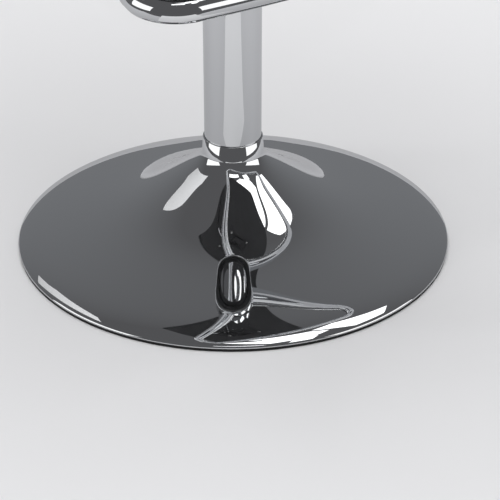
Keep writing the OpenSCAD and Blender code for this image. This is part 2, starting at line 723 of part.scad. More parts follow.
module lever_grip() {
    r = lever_r;
    color("black") translate([-lever_reach, 0, lever_z - drop]) rotate([0, 90, 0])
        rotate_extrude($fn = 48) polygon([[0, 0], [r + 1, 0], [r + grip_swell - 1, 1], [r + grip_swell, 4],
            [r + grip_swell, grip_head], [r + 2, grip_waist], [r + 1.6, grip_len - 2], [r + 0.8, grip_len],
            [r + seat_gap, grip_len], [r + seat_gap, 3], [0, 3]]);
}

base_shell();
floor_ring();
ballast_disc();
hub_socket();
gussets();
ballast_bolts();
column_tube();
column_foot();
lower_race();
bearing_balls();
ball_cage();
top_bush();
footrest_sleeve();
footrest_loop();
footrest_screws();
upper_race();
rod_clip();
rod_buffer();
piston_rod();
piston();
piston_nut();
rod_gland();
gas_cylinder();
guide_ring();
lift_tube();
upper_collar();
taper_socket();
mechanism_housing();
mount_plate();
lever_bracket();
lever_pin();
pin_clip();
seat_bolts();
seat_washers();
t_nuts();
seat_shell();
shell_cover();
seat_cushion();
back_cushion();
valve_pin();
lever_rod();
lever_grip();
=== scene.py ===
import json
import math

import bmesh
import bpy
from mathutils import Matrix, Vector
from mathutils.bvhtree import BVHTree


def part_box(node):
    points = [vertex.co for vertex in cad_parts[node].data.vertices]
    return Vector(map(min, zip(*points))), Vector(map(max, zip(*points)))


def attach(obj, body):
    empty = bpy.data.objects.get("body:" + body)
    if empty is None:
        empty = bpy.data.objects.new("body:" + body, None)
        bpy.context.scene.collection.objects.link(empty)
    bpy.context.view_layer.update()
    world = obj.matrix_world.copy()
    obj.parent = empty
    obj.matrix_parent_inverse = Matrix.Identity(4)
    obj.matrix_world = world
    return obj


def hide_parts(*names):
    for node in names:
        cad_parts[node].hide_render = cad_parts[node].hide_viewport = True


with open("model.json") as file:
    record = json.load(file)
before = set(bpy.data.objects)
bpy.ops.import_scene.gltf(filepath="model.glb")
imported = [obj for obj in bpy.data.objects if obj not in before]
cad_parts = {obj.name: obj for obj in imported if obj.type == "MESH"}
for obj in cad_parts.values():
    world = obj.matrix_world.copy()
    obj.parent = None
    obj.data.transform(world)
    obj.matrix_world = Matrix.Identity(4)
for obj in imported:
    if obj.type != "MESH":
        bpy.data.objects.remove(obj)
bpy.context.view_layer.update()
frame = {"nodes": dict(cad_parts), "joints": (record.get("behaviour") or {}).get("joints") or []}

MM = 0.001
NODES = frame["nodes"]


# Sizes, in metres, as in the solids
COLUMN_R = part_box("column_tube")[1].x
COLUMN_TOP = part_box("column_tube")[1].z
COLUMN_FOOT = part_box("column_tube")[0].z
LIFT_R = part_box("lift_tube")[1].x
LIFT_LOW, LIFT_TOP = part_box("lift_tube")[0].z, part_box("lift_tube")[1].z
BASE_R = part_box("base_shell")[1].x
BASE_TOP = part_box("base_shell")[1].z
RING_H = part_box("base_shell")[0].z
SLEEVE_LOW, SLEEVE_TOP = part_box("footrest_sleeve")[0].z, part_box("footrest_sleeve")[1].z
SLEEVE_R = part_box("footrest_sleeve")[1].x
FOOT_Z = (SLEEVE_LOW + SLEEVE_TOP) / 2
SEAT_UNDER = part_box("shell_cover")[0].z
SIDES = ((-1, "left"), (1, "right"))


# Shader groups that several finishes share
def node_group(name, inputs, outputs):
    group = bpy.data.node_groups.new(name, "ShaderNodeTree")
    for label, value in inputs:
        socket = group.interface.new_socket(label, in_out="INPUT", socket_type="NodeSocketFloat")
        socket.default_value = value
    group.interface.new_socket("Place", in_out="INPUT", socket_type="NodeSocketVector")
    for label in outputs:
        group.interface.new_socket(label, in_out="OUTPUT", socket_type="NodeSocketFloat")
    return group, group.nodes.new("NodeGroupInput"), group.nodes.new("NodeGroupOutput")


def math_node(tree, operation, a, b=None, clamp=False):
    node = tree.nodes.new("ShaderNodeMath")
    node.operation, node.use_clamp = operation, clamp
    for socket, value in zip(node.inputs, (a, b)):
        if value is None:
            continue
        if isinstance(value, (int, float)):
            socket.default_value = value
        else:
            tree.links.new(value, socket)
    return node.outputs[0]


def noise(tree, place, scale, detail=3.0, stretch=None):
    node = tree.nodes.new("ShaderNodeTexNoise")
    node.inputs["Detail"].default_value = detail
    if isinstance(scale, (int, float)):
        node.inputs["Scale"].default_value = scale
    else:
        tree.links.new(scale, node.inputs["Scale"])
    if stretch:
        mapping = tree.nodes.new("ShaderNodeMapping")
        mapping.inputs["Scale"].default_value = stretch
        tree.links.new(place, mapping.inputs["Vector"])
        place = mapping.outputs[0]
    tree.links.new(place, node.inputs["Vector"])
    return node.outputs["Fac"]


def make_handling():
    """Roughness of a polished surface: clean, with faint wiping marks and hairlines."""
    g, i, o = node_group("handling", [("Clean", 0.02), ("Marked", 0.08), ("Scale", 14.0)], ["Roughness"])
    place = i.outputs["Place"]
    cloud = noise(g, place, i.outputs["Scale"], 5.0)
    hair = noise(g, place, 60.0, 2.0, (1.0, 14.0, 3.0))
    mask = math_node(g, "MULTIPLY", math_node(g, "SUBTRACT", cloud, 0.45, True), 3.0, True)
    lines = math_node(g, "MULTIPLY", math_node(g, "SUBTRACT", hair, 0.62, True), 4.0, True)
    mask = math_node(g, "ADD", mask, lines, True)
    span = math_node(g, "SUBTRACT", i.outputs["Marked"], i.outputs["Clean"])
    rough = math_node(g, "ADD", math_node(g, "MULTIPLY", span, mask), i.outputs["Clean"])
    g.links.new(rough, o.inputs["Roughness"])
    return g


def make_speckle():
    """Fine relief of moulded, cast or sprayed surfaces, with a slow drift in shade."""
    g, i, o = node_group("speckle", [("Scale", 900.0), ("Drift", 20.0)], ["Height", "Shade"])
    place = i.outputs["Place"]
    fine = noise(g, place, i.outputs["Scale"], 2.0)
    slow = noise(g, place, i.outputs["Drift"], 4.0)
    g.links.new(fine, o.inputs["Height"])
    g.links.new(math_node(g, "MULTIPLY", math_node(g, "ADD", fine, slow), 0.5), o.inputs["Shade"])
    return g


def make_leather():
    """Pebbled grain of coated cloth with soft creases."""
    g, i, o = node_group("pebble_grain", [("Scale", 620.0), ("Crease", 28.0)], ["Height", "Shade"])
    place = i.outputs["Place"]
    bend = g.nodes.new("ShaderNodeTexNoise")
    bend.inputs["Scale"].default_value = 260.0
    g.links.new(place, bend.inputs["Vector"])
    shift = g.nodes.new("ShaderNodeVectorMath")
    shift.operation = "MULTIPLY_ADD"
    shift.inputs[1].default_value = (0.0012, 0.0012, 0.0012)
    g.links.new(bend.outputs["Color"], shift.inputs[0])
    g.links.new(place, shift.inputs[2])
    cells = g.nodes.new("ShaderNodeTexVoronoi")
    cells.feature = "DISTANCE_TO_EDGE"
    g.links.new(i.outputs["Scale"], cells.inputs["Scale"])
    g.links.new(shift.outputs[0], cells.inputs["Vector"])
    pebble = math_node(g, "MULTIPLY", cells.outputs["Distance"], 3.4, True)
    pebble = math_node(g, "POWER", pebble, 0.55)
    crease = noise(g, place, i.outputs["Crease"], 6.0)
    height = math_node(g, "ADD", pebble, math_node(g, "MULTIPLY", crease, 0.8))
    g.links.new(height, o.inputs["Height"])
    g.links.new(math_node(g, "MULTIPLY", math_node(g, "ADD", pebble, crease), 0.5), o.inputs["Shade"])
    return g


HANDLING, SPECKLE, LEATHER = make_handling(), make_speckle(), make_leather()


# Finishes
def finish_of(name, color, metallic, roughness, **sockets):
    """A material whose plain numbers sit on the shader itself."""
    made = bpy.data.materials.new(name)
    made.use_nodes = True
    tree = made.node_tree
    shader = tree.nodes["Principled BSDF"]
    shader.inputs["Base Color"].default_value = (*color, 1)
    shader.inputs["Metallic"].default_value = metallic
    shader.inputs["Roughness"].default_value = roughness
    for label, value in sockets.items():
        shader.inputs[label.replace("_", " ")].default_value = value
    place = tree.nodes.new("ShaderNodeTexCoord").outputs["Object"]
    return made, tree, shader, place


def use_group(tree, group, place, **values):
    node = tree.nodes.new("ShaderNodeGroup")
    node.node_tree = group
    tree.links.new(place, node.inputs["Place"])
    for label, value in values.items():
        node.inputs[label].default_value = value
    return node


def relief(tree, shader, height, strength, distance):
    bump = tree.nodes.new("ShaderNodeBump")
    bump.inputs["Strength"].default_value = strength
    bump.inputs["Distance"].default_value = distance
    tree.links.new(height, bump.inputs["Height"])
    tree.links.new(bump.outputs["Normal"], shader.inputs["Normal"])


def shade_between(tree, shader, factor, dark, light):
    mix = tree.nodes.new("ShaderNodeMix")
    mix.data_type = "RGBA"
    mix.inputs["A"].default_value = (*dark, 1)
    mix.inputs["B"].default_value = (*light, 1)
    tree.links.new(factor, mix.inputs["Factor"])
    tree.links.new(mix.outputs["Result"], shader.inputs["Base Color"])


def chrome_finish(name, clean, marked, waves):
    made, tree, shader, place = finish_of(name, (0.80, 0.81, 0.82), 1.0, clean)
    marks = use_group(tree, HANDLING, place, Clean=clean, Marked=marked)
    tree.links.new(marks.outputs["Roughness"], shader.inputs["Roughness"])
    if waves:
        relief(tree, shader, noise(tree, place, 9.0, 1.0), waves, 0.001)
    return made


def sprayed_finish(name, dark, light, roughness, grain, depth):
    made, tree, shader, place = finish_of(name, dark, 0.0, roughness)
    spots = use_group(tree, SPECKLE, place, Scale=grain, Drift=18.0)
    shade_between(tree, shader, spots.outputs["Shade"], dark, light)
    relief(tree, shader, spots.outputs["Height"], 0.6, depth)
    return made


def steel_finish(name, dark, light, clean, marked):
    made, tree, shader, place = finish_of(name, light, 1.0, clean)
    marks = use_group(tree, HANDLING, place, Clean=clean, Marked=marked, Scale=70.0)
    tree.links.new(marks.outputs["Roughness"], shader.inputs["Roughness"])
    spots = use_group(tree, SPECKLE, place, Scale=500.0, Drift=60.0)
    shade_between(tree, shader, spots.outputs["Shade"], dark, light)
    relief(tree, shader, spots.outputs["Height"], 0.2, 0.0001)
    return made


def leather_finish():
    made, tree, shader, place = finish_of("black_leather", (0.02, 0.02, 0.021), 0.0, 0.4,
                                          Coat_Weight=0.12, Coat_Roughness=0.35)
    grain = use_group(tree, LEATHER, place)
    shade_between(tree, shader, grain.outputs["Shade"], (0.010, 0.010, 0.0105), (0.030, 0.030, 0.032))
    relief(tree, shader, grain.outputs["Height"], 0.5, 0.0003)
    rough = math_node(tree, "SUBTRACT", 0.56, math_node(tree, "MULTIPLY", grain.outputs["Shade"], 0.22))
    tree.links.new(rough, shader.inputs["Roughness"])
    return made


def plywood_finish():
    made, tree, shader, place = finish_of("birch_plywood", (0.62, 0.45, 0.28), 0.0, 0.5)
    grain = noise(tree, place, 22.0, 6.0, (1.0, 9.0, 9.0))
    shade_between(tree, shader, grain, (0.42, 0.27, 0.14), (0.70, 0.53, 0.34))
    relief(tree, shader, grain, 0.3, 0.0004)
    return made


def thread_finish():
    made, tree, shader, place = finish_of("bonded_thread", (0.05, 0.05, 0.052), 0.0, 0.55)
    twist = tree.nodes.new("ShaderNodeTexWave")
    twist.bands_direction = "DIAGONAL"
    twist.inputs["Scale"].default_value = 900.0
    tree.links.new(place, twist.inputs["Vector"])
    shade_between(tree, shader, twist.outputs["Fac"], (0.02, 0.02, 0.021), (0.09, 0.09, 0.094))
    relief(tree, shader, twist.outputs["Fac"], 0.5, 0.0002)
    return made


FINISH = {
    "chrome": chrome_finish("chrome_plate", 0.012, 0.05, 0.0),
    "spun_chrome": chrome_finish("spun_chrome_plate", 0.012, 0.045, 0.05),
    "rubber": sprayed_finish("floor_rubber", (0.006, 0.006, 0.006), (0.02, 0.02, 0.02), 0.72, 700, 0.3 * MM),
    "nylon": sprayed_finish("black_nylon", (0.008, 0.008, 0.008), (0.02, 0.02, 0.021), 0.38, 1200, 0.1 * MM),
    "grip": sprayed_finish("lever_grip_plastic", (0.008, 0.008, 0.009), (0.018, 0.018, 0.02), 0.32, 1500,
                           0.15 * MM),
    "powder": sprayed_finish("black_powder_coat", (0.010, 0.010, 0.011), (0.028, 0.028, 0.03), 0.45, 650,
                             0.3 * MM),
    "iron": sprayed_finish("ballast_iron", (0.03, 0.03, 0.03), (0.09, 0.088, 0.085), 0.75, 240, 1.2 * MM),
    "zinc": steel_finish("zinc_plated_steel", (0.42, 0.43, 0.42), (0.66, 0.66, 0.63), 0.24, 0.42),
    "bearing": steel_finish("bearing_steel", (0.55, 0.56, 0.58), (0.74, 0.74, 0.76), 0.08, 0.18),
    "brass": steel_finish("cage_brass", (0.55, 0.38, 0.14), (0.80, 0.62, 0.30), 0.2, 0.35),
    "leather": leather_finish(),
    "plywood": plywood_finish(),
    "thread": thread_finish(),
}


# Making pieces
def placed(name, data):
    """A new object in the scene."""
    made = bpy.data.objects.new(name, data)
    bpy.context.scene.collection.objects.link(made)
    return made


def add_piece(name, mesh, finish, body, replaces=(), sharp=40.0):
    mesh.name = name
    mesh.materials.clear()
    mesh.materials.append(FINISH[finish])
    mesh.polygons.foreach_set("use_smooth", [True] * len(mesh.polygons))
    if sharp:
        mesh.set_sharp_from_angle(angle=math.radians(sharp))
    piece = placed(name, mesh)
    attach(piece, body)
    if replaces:
        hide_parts(*replaces)
    return piece


def mesh_from(bm, name, recalc=True):
    if recalc:
        bmesh.ops.remove_doubles(bm, verts=bm.verts, dist=1e-7)
        bmesh.ops.recalc_face_normals(bm, faces=bm.faces)
    mesh = bpy.data.meshes.new(name)
    bm.to_mesh(mesh)
    bm.free()
    return mesh


def rounded(points, radius, steps=3):
    """A closed outline with its corners rounded; a corner's own radius may be given as a third number."""
    made = []
    count = len(points)
    for i, corner in enumerate(points):
        before, here, after = (Vector(points[(i + k) % count][:2]) for k in (-1, 0, 1))
        wanted = corner[2] if len(corner) > 2 else radius
        a, b = before - here, after - here
        if wanted <= 0 or a.length < 1e-9 or b.length < 1e-9:
            made.append(here)
            continue
        turn = a.angle(b, math.pi)
        if turn > math.radians(172):
            made.append(here)
            continue
        cut = min(wanted / math.tan(turn / 2), 0.45 * a.length, 0.45 * b.length)
        start, end = here + a.normalized() * cut, here + b.normalized() * cut
        for k in range(steps + 1):
            t = k / steps
            made.append(start * (1 - t) ** 2 + here * 2 * t * (1 - t) + end * t * t)
    return made


def spin_round(profile, steps):
    """A closed outline of (radius, height), spun about the column's axis."""
    bm = bmesh.new()
    verts = [bm.verts.new((max(p[0], 0.0), 0.0, p[1])) for p in profile]
    edges = [bm.edges.new((a, b)) for a, b in zip(verts, verts[1:] + verts[:1])]
    bmesh.ops.spin(bm, geom=verts + edges, cent=(0, 0, 0), axis=(0, 0, 1), angle=2 * math.pi,
                   steps=steps, use_merge=True)
    return bm


def spun(name, profile, finish, body, replaces=(), steps=128, place=None, sharp=40.0):
    bm = spin_round(profile, steps)
    if place is not None:
        bmesh.ops.transform(bm, matrix=place, verts=bm.verts)
    bmesh.ops.dissolve_degenerate(bm, edges=bm.edges, dist=1e-7)
    return add_piece(name, mesh_from(bm, name), finish, body, replaces, sharp)


def tube_mesh(name, points, radius, closed=False, round_steps=6):
    """A round tube along a line of points, as a mesh."""
    curve = bpy.data.curves.new(name, "CURVE")
    curve.dimensions = "3D"
    curve.bevel_depth = radius
    curve.bevel_resolution = round_steps
    curve.use_fill_caps = not closed
    line = curve.splines.new("POLY")
    line.points.add(len(points) - 1)
    for knot, p in zip(line.points, points):
        knot.co = (*p, 1)
    line.use_cyclic_u = closed
    holder = placed(name, curve)
    bpy.context.view_layer.update()
    mesh = baked(holder)
    bpy.data.objects.remove(holder)
    bpy.data.curves.remove(curve)
    bm = bmesh.new()
    bm.from_mesh(mesh)
    bpy.data.meshes.remove(mesh)
    return mesh_from(bm, name)


def baked(piece):
    """The mesh of a piece once its modifiers have run."""
    depsgraph = bpy.context.evaluated_depsgraph_get()
    return bpy.data.meshes.new_from_object(piece.evaluated_get(depsgraph))


def settle(piece):
    """Runs a piece's modifiers for good."""
    bpy.context.view_layer.update()
    mesh = baked(piece)
    piece.modifiers.clear()
    piece.data = mesh
    return mesh


def drill(piece, drill_bm):
    """Cuts the drill's shape out of a piece once it settles; the drill itself is removed after that."""
    tool = placed("drill", mesh_from(drill_bm, "drill"))
    cut = piece.modifiers.new("hole", "BOOLEAN")
    cut.operation, cut.object, cut.solver = "DIFFERENCE", tool, "EXACT"
    return tool


# The spun base
LIP_T = 0.6 * MM
SHELL_T = 1.6 * MM
BEAD_R = 2.5 * MM
SPIN_STEPS = 132
SPIN_IN = COLUMN_R + 0.15 * MM + LIP_T
COLLAR_OUT, COLLAR_LOW = 0.6 * MM, 87.3 * MM


def spin_slope(t):
    """Slope of the spun face, in radians, at a share t of the way from the neck to the rim."""
    degrees = (15.7 + 18.5 * math.exp(-(t / 0.012) ** 2.5) + 36 * math.exp(-t / 0.033)
               + 18 / (1 + math.exp((t - 0.412) / 0.063)) + 19.6 * t ** 15.3)
    return math.radians(degrees)


def base_profile(count):
    """The shell's outline: an upright collar, the flared outside, the rolled bead, and the inside back up."""
    edge = spin_slope(1)
    spin_out = BASE_R - BEAD_R * (1 - math.sin(edge))
    rim_z = RING_H + BEAD_R * math.cos(edge)
    share = [(i / count) ** 2 for i in range(count + 1)]
    rise = [0.0]
    for a, b in zip(share[::-1][:-1], share[::-1][1:]):
        rise.append(rise[-1] + (a - b) * (math.tan(spin_slope(a)) + math.tan(spin_slope(b))) / 2)
    rise = rise[::-1]
    outer = [(SPIN_IN + (spin_out - SPIN_IN) * t, rim_z + (BASE_TOP - rim_z) * h / rise[0])
             for t, h in zip(share, rise)]
    inner = [(max(r - SHELL_T * math.sin(spin_slope(t)), SPIN_IN - LIP_T),
              z - SHELL_T * math.cos(spin_slope(t))) for (r, z), t in zip(outer, share)][::3]
    collar_top = (SPIN_IN + COLLAR_OUT, BASE_TOP - COLLAR_OUT)
    outer = [outer[0], collar_top] + [p for p in outer if p[1] < COLLAR_LOW]
    bead_x = spin_out - BEAD_R * math.sin(edge)
    angles = [(math.pi / 2 - edge) * (1 - k / 8) for k in range(1, 9)]
    bead = [(bead_x + BEAD_R * math.cos(a), RING_H + BEAD_R * math.sin(a)) for a in angles]
    hem = [(bead_x + (BEAD_R - SHELL_T) * math.cos(a), RING_H + (BEAD_R - SHELL_T) * math.sin(a))
           for a in angles]
    return outer + bead + hem[::-1] + inner[::-1]


spun("spun_base", base_profile(SPIN_STEPS), "spun_chrome", "base", ["base_shell"], steps=240, sharp=60)

ring_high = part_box("floor_ring")[1]
ring_in = ring_high.x - 9 * MM
spun("floor_ring_rubber", rounded([
    (ring_in, 0), (ring_high.x, 0, 0.8 * MM), (ring_high.x, RING_H, 0.3 * MM),
    (ring_high.x - 2.2 * MM, RING_H, 0), (ring_high.x - 3.2 * MM, ring_high.z),
    (ring_in, ring_high.z)], 0.5 * MM), "rubber", "base", ["floor_ring"], steps=180)


# Column, guide ring, sliding tube
WALL = 2 * MM
TAPER_IN, TAPER_H = 1.2 * MM, 60 * MM
spun("column_outer", rounded([
    (COLUMN_R - TAPER_IN - 2.3 * MM, COLUMN_FOOT), (COLUMN_R - TAPER_IN, COLUMN_FOOT),
    (COLUMN_R, COLUMN_FOOT + TAPER_H, 0), (COLUMN_R, COLUMN_TOP, 0.6 * MM),
    (COLUMN_R - WALL, COLUMN_TOP), (COLUMN_R - WALL, 34 * MM, 0),
    (COLUMN_R - TAPER_IN - 2.3 * MM, 30 * MM, 0)], 0.4 * MM), "chrome", "base", ["column_tube"], steps=192)

guide_low, guide_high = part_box("guide_ring")
spun("guide_ring_moulded", rounded([
    (COLUMN_R + 0.06 * MM, guide_low.z, 0.8 * MM), (guide_high.x, guide_low.z, 1.5 * MM),
    (guide_high.x, LIFT_LOW - 0.02 * MM, 0.5 * MM), (LIFT_R - WALL - 0.05 * MM, LIFT_LOW - 0.02 * MM, 0),
    (LIFT_R - WALL - 0.05 * MM, guide_high.z), (COLUMN_R + 0.06 * MM, guide_high.z)], 0.3 * MM, 5),
    "nylon", "seat", ["guide_ring"], steps=128)

spun("lift_tube_chrome", rounded([
    (LIFT_R - WALL, LIFT_LOW), (LIFT_R, LIFT_LOW), (LIFT_R, LIFT_TOP), (LIFT_R - WALL, LIFT_TOP)],
    0.4 * MM), "chrome", "seat", ["lift_tube"], steps=160)

collar_low, collar_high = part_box("upper_collar")
collar_in = LIFT_R + 0.05 * MM
spun("seat_collar", rounded([
    (collar_in, collar_low.z, 0.2 * MM), (collar_in + 1.5 * MM, collar_low.z, 0.6 * MM),
    (collar_in + 2.5 * MM, collar_low.z + 2 * MM, 1.2 * MM),
    (collar_in + 3.5 * MM, collar_high.z - 3 * MM, 1 * MM), (collar_in + 3.5 * MM, collar_high.z, 0.5 * MM),
    (collar_in, collar_high.z, 0)], 0.4 * MM, 5), "nylon", "seat", ["upper_collar"], steps=96)


# Footrest
SCREW_R = 3 * MM
FOOT_R = 10 * MM
FOOT_HALF_W, FOOT_REACH = 184 * MM, 172 * MM
ARM_START = Vector((6, -8)) * MM
SIDE_SPLAY, ARM_SHARE, SIDE_SHARE = 14 * MM, 0.61, 0.988
ARM_BEND, CORNER_BEND, FRONT_ARC = 34 * MM, 30 * MM, 1500 * MM
WELD_SPREAD, WELD_R, WELD_RIPPLES = 1.02, 1.5 * MM, 22


def sleeve_with_holes():
    """The sleeve round the sliding tube, with the holes of its two set screws at the back."""
    inner = LIFT_R + 0.05 * MM
    outline = [(inner, SLEEVE_LOW), (SLEEVE_R, SLEEVE_LOW, 1.0 * MM), (SLEEVE_R, SLEEVE_TOP, 1.0 * MM),
               (inner, SLEEVE_TOP)]
    bm = spin_round(rounded(outline, 0.3 * MM, 4), 160)
    mesh = mesh_from(bm, "sleeve")
    piece = add_piece("footrest_sleeve_chrome", mesh, "chrome", "seat", ["footrest_sleeve"])
    for share in (-1 / 4, 1 / 4):
        at = Matrix.Translation((0, SLEEVE_R - 1.5 * MM, FOOT_Z + share * (SLEEVE_TOP - SLEEVE_LOW)))
        drill_bm = bmesh.new()
        bmesh.ops.create_cone(drill_bm, cap_ends=True, segments=40, radius1=SCREW_R, radius2=SCREW_R,
                              depth=3 * SCREW_R, matrix=at @ Matrix.Rotation(math.pi / 2, 4, "X"))
        tool = drill(piece, drill_bm)
        settle(piece)
        bpy.data.objects.remove(tool)
    piece.data.set_sharp_from_angle(angle=math.radians(35))


sleeve_with_holes()


def left_of(v):
    return Vector((-v.y, v.x))


def arc_points(centre, radius, start, end, steps):
    return [centre + Vector((math.cos(a), math.sin(a))) * radius
            for a in (start + (end - start) * k / steps for k in range(steps + 1))]


def heading(v):
    return math.atan2(v.y, v.x)


def meets_circle(start, way, radius):
    """Where a line in plan, followed from inside, leaves a circle round the column's axis."""
    b = start.dot(way)
    return start + way * (-b + math.sqrt(max(b * b - start.dot(start) + radius * radius, 0)))


def footrest_path():
    """Half the loop in plan, from the sleeve out and round to the front bar, then mirrored."""
    arm_end = Vector((FOOT_HALF_W - SIDE_SPLAY, -FOOT_REACH * ARM_SHARE))
    side_end = Vector((FOOT_HALF_W, -FOOT_REACH * SIDE_SHARE))
    arm, side = (arm_end - ARM_START).normalized(), (side_end - arm_end).normalized()
    cut = ARM_BEND * math.tan(arm.angle(side) / 2)
    bend_c = arm_end - arm * cut - left_of(arm) * ARM_BEND
    front_c = Vector((0, FRONT_ARC - FOOT_REACH))
    base = arm_end - left_of(side) * CORNER_BEND - front_c
    half = base.dot(side)
    run = -half + math.sqrt(half * half - base.dot(base) + (FRONT_ARC - CORNER_BEND) ** 2)
    corner_c = arm_end + side * run - left_of(side) * CORNER_BEND
    out = (corner_c - front_c).normalized()
    first = meets_circle(ARM_START, arm, SLEEVE_R - 2.1 * MM)
    side_normal = heading(left_of(side))
    half_line = ([first] + arc_points(bend_c, ARM_BEND, heading(left_of(arm)), side_normal, 18)
                 + arc_points(corner_c, CORNER_BEND, side_normal, heading(out), 26))
    front = arc_points(front_c, FRONT_ARC, heading(out), -math.pi - heading(out), 24)
    line = half_line + front + [Vector((-p.x, p.y)) for p in half_line[::-1]]
    kept = [line[0]]
    for p in line[1:]:
        if (p - kept[-1]).length > 0.1 * MM:
            kept.append(p)
    return kept, arm


foot_line, arm_way = footrest_path()


def long_line(points, step):
    """Adds points on long straights, so that a tube has even rings."""
    made = [points[0]]
    for a, b in zip(points, points[1:]):
        count = max(1, round((b - a).length / step))
        made += [a.lerp(b, k / count) for k in range(1, count + 1)]
    return made


foot_points = [(p.x, p.y, FOOT_Z) for p in long_line(foot_line, 6 * MM)]
add_piece("footrest_bar", tube_mesh("footrest_bar", foot_points, FOOT_R, round_steps=14), "chrome", "seat",
          ["footrest_loop"], sharp=50)


def weld_bead(side, label):
    """The plated weld where an arm of the footrest meets the sleeve, with the ripples of its passes."""
    points = []
    across = left_of(arm_way)
    for k in range(96):
        a = 2 * math.pi * k / 96
        off = ARM_START + across * (FOOT_R * WELD_SPREAD * math.cos(a))
        p = meets_circle(off, arm_way, SLEEVE_R + 0.3 * MM)
        points.append(Vector((side * p.x, p.y, FOOT_Z + FOOT_R * WELD_SPREAD * math.sin(a))))
    mesh = tube_mesh("weld", points, WELD_R, closed=True, round_steps=4)
    for v in mesh.vertices:
        around = math.atan2(v.co.z - FOOT_Z, (Vector((side * v.co.x, v.co.y)) - ARM_START).dot(across))
        centre = min(points, key=lambda q: (q - v.co).length_squared)
        v.co = centre + (v.co - centre) * (1 + 0.13 * math.sin(WELD_RIPPLES * around))
    add_piece(f"footrest_weld_{label}", mesh, "chrome", "seat", sharp=0)


for side, label in SIDES:
    weld_bead(side, label)


# Seat: the bent blank
LEAN = math.radians(10)
PLY_W = 408 * MM
FRONT_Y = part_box("seat_shell")[0].y
BEND_R = 50 * MM
BACK_LEN = 215 * MM
HALF_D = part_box("shell_cover")[1].y
BEND_Y = HALF_D - BEND_R * math.cos(LEAN) - BACK_LEN * math.sin(LEAN)
BEND_Z = SEAT_UNDER + BEND_R
COVER_T, PLY_T = 2 * MM, 12 * MM
PLY_TOP = SEAT_UNDER + COVER_T + PLY_T
BEND_RUN = BEND_R * (math.pi / 2 - LEAN)
FLAT_RUN = BEND_Y - FRONT_Y
FRONT_ROUND, BACK_ROUND, BACK_TAPER = 50 * MM, 42 * MM, 14 * MM


def bent(x, s, depth):
    """Where a point of the flat blank lies once it is bent; s runs from the front edge to the back's top."""
    if s <= FLAT_RUN:
        return Vector((x, FRONT_Y + s, SEAT_UNDER + depth))
    r = BEND_R - depth
    if s <= FLAT_RUN + BEND_RUN:
        a = -math.pi / 2 + (s - FLAT_RUN) / BEND_R
        return Vector((x, BEND_Y + r * math.cos(a), BEND_Z + r * math.sin(a)))
    up = s - FLAT_RUN - BEND_RUN
    return Vector((x, BEND_Y + r * math.cos(LEAN) + up * math.sin(LEAN),
                   BEND_Z - r * math.sin(LEAN) + up * math.cos(LEAN)))


def blank_outline(grow, steps=10):
    """The blank's outline, flat: rounded front corners, and a back that narrows to rounded top corners."""
    w = PLY_W / 2
    low_s = FLAT_RUN + BEND_RUN + BEND_R * math.sin(LEAN) / math.cos(LEAN)
    top_s = FLAT_RUN + BEND_RUN + BACK_LEN
    half = []
    for k in range(steps + 1):
        a = -math.pi / 2 + math.pi / 2 * k / steps
        half.append(Vector((w - FRONT_ROUND + (FRONT_ROUND + grow) * math.cos(a),
                            FRONT_ROUND + (FRONT_ROUND + grow) * math.sin(a))))
    half.append(Vector((w + grow, low_s)))
    narrow = w - BACK_TAPER
    for k in range(steps + 1):
        a = math.pi / 2 * k / steps
        half.append(Vector((narrow - BACK_ROUND + (BACK_ROUND + grow) * math.cos(a),
                            top_s - BACK_ROUND + (BACK_ROUND + grow) * math.sin(a))))
    return half + [Vector((-p.x, p.y)) for p in half[::-1]]


def wrapped_cover():
    """The skin under the plywood: cut flat, turned up round the edges, then bent with the seat."""
    bm = bmesh.new()
    bm.faces.new([bm.verts.new((p.x, p.y, 0)) for p in blank_outline(COVER_T)])
    length = FLAT_RUN + BEND_RUN + BACK_LEN + 2 * COVER_T
    cuts = [((0, length * k / 44 - COVER_T, 0), (0, 1, 0)) for k in range(1, 44)]
    cuts += [((k * 24 * MM, 0, 0), (1, 0, 0)) for k in range(-8, 9)]
    for place, across in cuts:
        whole = bm.verts[:] + bm.edges[:] + bm.faces[:]
        bmesh.ops.bisect_plane(bm, geom=whole, plane_co=place, plane_no=across)
    rim = [e for e in bm.edges if e.is_boundary]
    for height in (1.2 * MM, 6.2 * MM, 11.2 * MM, COVER_T + PLY_T):
        grown = bmesh.ops.extrude_edge_only(bm, edges=rim)["geom"]
        for v in (g for g in grown if isinstance(g, bmesh.types.BMVert)):
            v.co.z = height
        rim = [g for g in grown if isinstance(g, bmesh.types.BMEdge) and g.is_boundary]
    for v in bm.verts:
        v.co = bent(v.co.x, v.co.y, v.co.z)
    piece = add_piece("seat_skin", mesh_from(bm, "cover"), "leather", "seat", ["shell_cover"], sharp=0)
    wall = piece.modifiers.new("wall", "SOLIDIFY")
    wall.thickness, wall.offset = 1.4 * MM, -1.0
    soft = piece.modifiers.new("soft_edge", "BEVEL")
    soft.width, soft.segments, soft.limit_method, soft.angle_limit = 0.6 * MM, 2, "ANGLE", math.radians(50)
    final = settle(piece)
    final.polygons.foreach_set("use_smooth", [True] * len(final.polygons))


wrapped_cover()


# Cushions
PAD_POWER, PULL_IN = 7, 0.022
PIPING_R = 2.1 * MM
STITCH_GAP, STITCH_R, STITCH_STRETCH = 5.2 * MM, 0.45 * MM, 4.6
CLOTH = {
    "quality": 5, "mass": 0.3, "use_pressure": True, "uniform_pressure_force": 4.0,
    "vertex_group_mass": "held", "tension_stiffness": 20, "compression_stiffness": 20,
    "bending_stiffness": 1.5,
}
CLOTH_STEPS, MOST_SWELL = 20, 9 * MM


def reach_at(s):
    """How far a cushion's outline reaches where its two plan coordinates stand in the ratio s."""
    return (1 + s ** PAD_POWER) ** (-1 / PAD_POWER) * (1 - PULL_IN * (1 - s * s))


MOST = max(reach_at(k / 24) for k in range(25))


